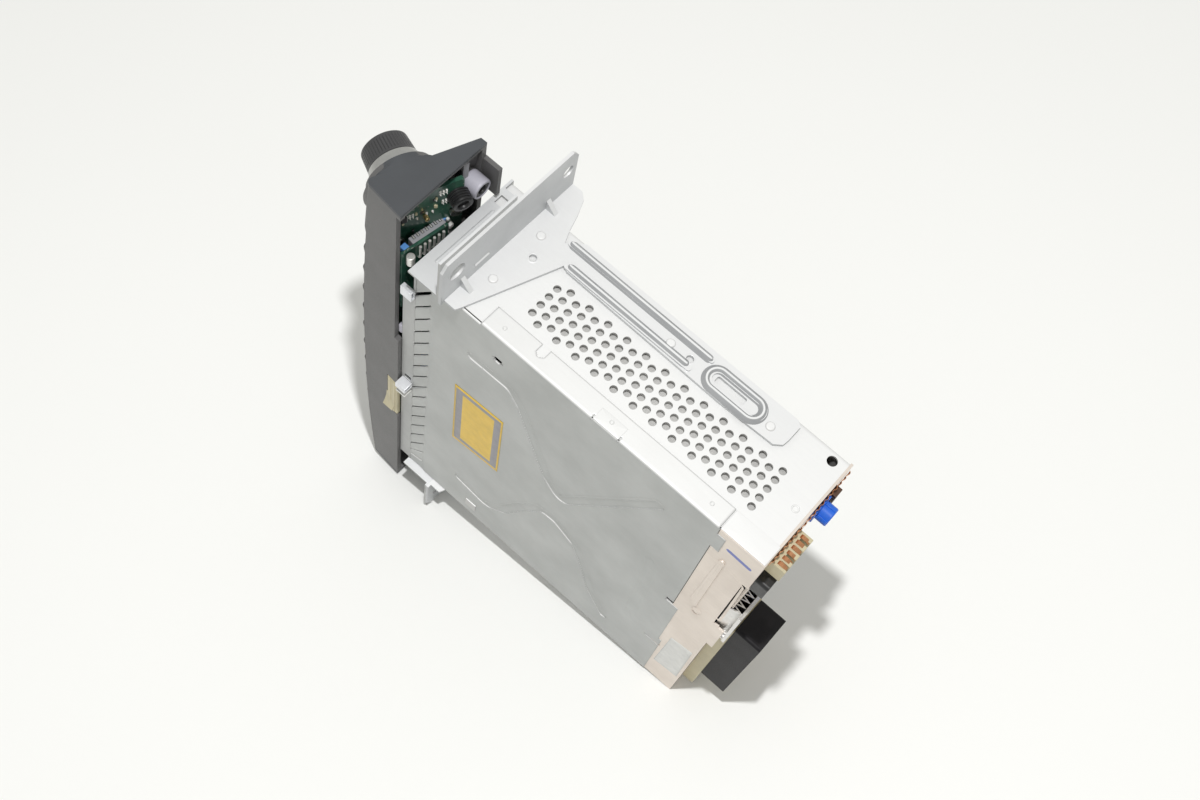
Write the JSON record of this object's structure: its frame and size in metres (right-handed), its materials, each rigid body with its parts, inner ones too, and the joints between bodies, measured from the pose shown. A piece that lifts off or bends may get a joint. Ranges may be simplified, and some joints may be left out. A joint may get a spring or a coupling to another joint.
{
  "type": "car cd radio",
  "caption": "slot-size car radio with disc player: bowed front panel with a knob, vented sheet body, eared side brackets and rear connectors",
  "frame": {"origin": "middle of the whole unit's footprint, at its lowest point as it stands on one side", "axes": "+Z runs along the front panel from the lower to the upper mounting ear, -Y is the way the face looks, +X is the labelled cover, which is the underside in a car"},
  "size_m": [0.069, 0.2138, 0.235],
  "materials": {
    "fascia": "satin",
    "dark_plastic": "satin",
    "silver_ring": "satin",
    "smoke_window": "polished",
    "display_glass": "polished",
    "key_plastic": "satin",
    "green_board": "satin",
    "rubber_black": "matte",
    "rubber_grey": "matte",
    "cream_plastic": "satin",
    "blue_plastic": "polished",
    "white_plastic": "satin",
    "zinc_sheet": "satin",
    "bare_zinc": "satin",
    "cover_sheet": "satin",
    "spring_steel": "polished",
    "screw_steel": "polished",
    "brass": "polished",
    "aluminium": "satin",
    "black_plastic": "satin",
    "brown_plastic": "satin",
    "white_gear": "satin",
    "blue_cable": "satin",
    "motor_steel": "polished"
  },
  "bodies": {
    "unit": {"aerial_socket": "blue_plastic", "aux_connector": "brown_plastic", "board_connectors": "white_plastic", "board_parts": "black_plastic", "bracket_rivets": "screw_steel", "bus_connector": "black_plastic", "chassis_tray": "zinc_sheet", "comb_connector": "cream_plastic", "connector_base": "cream_plastic", "connector_pins": "brass", "deck_base": "zinc_sheet", "deck_dampers": "rubber_black", "deck_motors": "motor_steel", "disc_guide": "black_plastic", "display_module": "display_glass", "display_window": "smoke_window", "fascia_board": "green_board", "fascia_shell": "fascia", "fin_pack": "aluminium", "flat_cable": "blue_cable", "front_frame": "zinc_sheet", "guide_bushes": "white_plastic", "guide_rods": "screw_steel", "key_mat": "rubber_grey", "label_cover": "cover_sheet", "latch_clips": "spring_steel", "latch_tab": "cream_plastic", "lower_bracket": "zinc_sheet", "main_board": "green_board", "main_connector": "black_plastic", "power_amplifier": "black_plastic", "rear_plate": "bare_zinc", "rotary_encoder": "black_plastic", "rubber_bush": "rubber_black", "small_screws": "screw_steel", "spindle_motor": "motor_steel", "upper_bracket": "zinc_sheet"},
    "volume": {"volume_knob": "dark_plastic", "volume_ring": "silver_ring"},
    "flap": {"slot_flap": "black_plastic"},
    "arm": {"clamp_arm": "zinc_sheet"},
    "clamp": {"clamp_disc": "black_plastic"},
    "platter": {"turntable": "black_plastic"},
    "sled": {"laser_sled": "black_plastic"},
    "screw": {"lead_screw": "screw_steel"},
    "roller": {"feed_roller": "rubber_black", "roller_gear": "white_gear"},
    "idler": {"idler_gear": "white_gear"},
    "pinion": {"motor_pinion": "white_gear"},
    "preset_key_1": {"preset_key_1": "key_plastic"},
    "preset_key_2": {"preset_key_2": "key_plastic"},
    "preset_key_3": {"preset_key_3": "key_plastic"},
    "preset_key_4": {"preset_key_4": "key_plastic"},
    "preset_key_5": {"preset_key_5": "key_plastic"},
    "preset_key_6": {"preset_key_6": "key_plastic"},
    "side_key_1": {"side_key_1": "key_plastic"},
    "side_key_2": {"side_key_2": "key_plastic"},
    "eject_key": {"eject_key": "key_plastic"}
  },
  "joints": [
    {"name": "volume_turn", "type": "hinge", "parent": "unit", "child": "volume", "pos_m": [0.01402, -0.09183, 0.2225], "axis": [-0.3616, -0.9323, 0], "continuous": true},
    {"name": "flap_swing", "type": "hinge", "parent": "unit", "child": "flap", "pos_m": [-0.0076, -0.0776, 0.1175], "axis": [0, 0, 1], "range_deg": [0, 75], "stiffness_Nm_per_rad": 0.002},
    {"name": "arm_lift", "type": "hinge", "parent": "unit", "child": "arm", "pos_m": [-0.0102, 0.064, 0.1175], "axis": [0, 0, 1], "range_deg": [-1.6, 2], "stiffness_Nm_per_rad": 2},
    {"name": "clamp_spin", "type": "hinge", "parent": "arm", "child": "clamp", "pos_m": [-0.008, 0, 0.1175], "axis": [1, 0, 0], "continuous": true},
    {"name": "platter_spin", "type": "hinge", "parent": "unit", "child": "platter", "pos_m": [0, 0, 0.1175], "axis": [1, 0, 0], "continuous": true},
    {"name": "sled_slide", "type": "slide", "parent": "unit", "child": "sled", "axis": [0, 1, 0], "range_m": [0, 0.034]},
    {"name": "screw_spin", "type": "hinge", "parent": "unit", "child": "screw", "pos_m": [0.0076, 0.04, 0.1435], "axis": [0, 1, 0], "continuous": true},
    {"name": "roller_spin", "type": "hinge", "parent": "unit", "child": "roller", "pos_m": [0.0001, -0.0632, 0.1175], "axis": [0, 0, 1], "continuous": true},
    {"name": "idler_spin", "type": "hinge", "parent": "unit", "child": "idler", "pos_m": [0.0077, -0.05595, 0.1914], "axis": [0, 0, 1], "continuous": true},
    {"name": "pinion_spin", "type": "hinge", "parent": "unit", "child": "pinion", "pos_m": [0.0102, -0.04731, 0.1914], "axis": [0, 0, 1], "continuous": true},
    {"name": "preset_key_1_press", "type": "slide", "parent": "unit", "child": "preset_key_1", "axis": [0.3616, 0.9323, 0], "range_m": [0, 0.001], "stiffness_N_per_m": 500},
    {"name": "preset_key_2_press", "type": "slide", "parent": "unit", "child": "preset_key_2", "axis": [0.3616, 0.9323, 0], "range_m": [0, 0.001], "stiffness_N_per_m": 500},
    {"name": "preset_key_3_press", "type": "slide", "parent": "unit", "child": "preset_key_3", "axis": [0.3616, 0.9323, 0], "range_m": [0, 0.001], "stiffness_N_per_m": 500},
    {"name": "preset_key_4_press", "type": "slide", "parent": "unit", "child": "preset_key_4", "axis": [0.3616, 0.9323, 0], "range_m": [0, 0.001], "stiffness_N_per_m": 500},
    {"name": "preset_key_5_press", "type": "slide", "parent": "unit", "child": "preset_key_5", "axis": [0.3616, 0.9323, 0], "range_m": [0, 0.001], "stiffness_N_per_m": 500},
    {"name": "preset_key_6_press", "type": "slide", "parent": "unit", "child": "preset_key_6", "axis": [0.3616, 0.9323, 0], "range_m": [0, 0.001], "stiffness_N_per_m": 500},
    {"name": "side_key_1_press", "type": "slide", "parent": "unit", "child": "side_key_1", "axis": [0.3616, 0.9323, 0], "range_m": [0, 0.001], "stiffness_N_per_m": 500},
    {"name": "side_key_2_press", "type": "slide", "parent": "unit", "child": "side_key_2", "axis": [0.3616, 0.9323, 0], "range_m": [0, 0.001], "stiffness_N_per_m": 500},
    {"name": "eject_key_press", "type": "slide", "parent": "unit", "child": "eject_key", "axis": [0.3616, 0.9323, 0], "range_m": [0, 0.001], "stiffness_N_per_m": 500}
  ],
  "couplings": [
    {"joint": "idler_spin", "follows": "roller_spin", "ratio": -0.5},
    {"joint": "pinion_spin", "follows": "roller_spin", "ratio": 1.75},
    {"joint": "screw_spin", "follows": "sled_slide", "rad_per_m": 3141.6}
  ]
}
